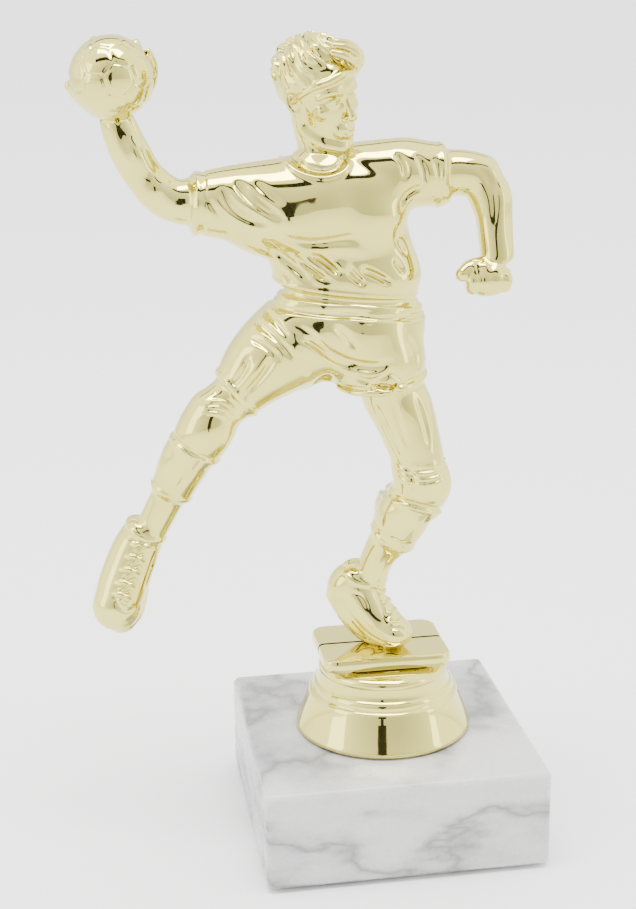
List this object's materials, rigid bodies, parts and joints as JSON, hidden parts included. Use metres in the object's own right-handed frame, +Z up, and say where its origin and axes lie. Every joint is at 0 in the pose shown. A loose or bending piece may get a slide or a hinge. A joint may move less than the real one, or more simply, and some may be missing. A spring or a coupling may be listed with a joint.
{
  "type": "sports figure trophy",
  "caption": "Gold moulded throwing handball player on a round stepped pedestal, bolted from below to a square white marble block.",
  "frame": {"origin": "centre of the trophy's underside, on the table and on the bolt's axis", "axes": "+Z up along the bolt's axis, -Y towards the front, +X to the right seen from the front"},
  "size_m": [0.1071, 0.07, 0.199],
  "materials": {
    "marble": "polished white marble with grey veins",
    "gold_plastic": "vacuum-metallised pale gold, mirror bright",
    "zinc_steel": "bright zinc plate",
    "pad_foam": "matt closed-cell foam"
  },
  "bodies": {
    "base": {"marble_base": "marble", "pad_front_left": "pad_foam", "pad_front_right": "pad_foam", "pad_back_left": "pad_foam", "pad_back_right": "pad_foam"},
    "figure": {"figure_front_shell": "gold_plastic", "figure_back_shell": "gold_plastic", "captive_nut": "zinc_steel"},
    "washers": {"flat_washer": "zinc_steel", "spring_washer": "zinc_steel"},
    "bolt": {"base_bolt": "zinc_steel"}
  },
  "joints": [
    {"name": "figure_turn", "type": "hinge", "parent": "base", "child": "figure", "pos_m": [0, 0, 0.026], "axis": [0, 0, 1], "continuous": true},
    {"name": "washer_drop", "type": "slide", "parent": "base", "child": "washers", "axis": [0, 0, 1], "range_m": [-0.009, 0]},
    {"name": "bolt_turn", "type": "hinge", "parent": "washers", "child": "bolt", "pos_m": [0, 0, 0.0069], "axis": [0, 0, 1], "range_deg": [-3240, 0]}
  ],
  "couplings": [
    {"joint": "bolt_turn", "follows": "washer_drop", "rad_per_m": 6283.2}
  ]
}
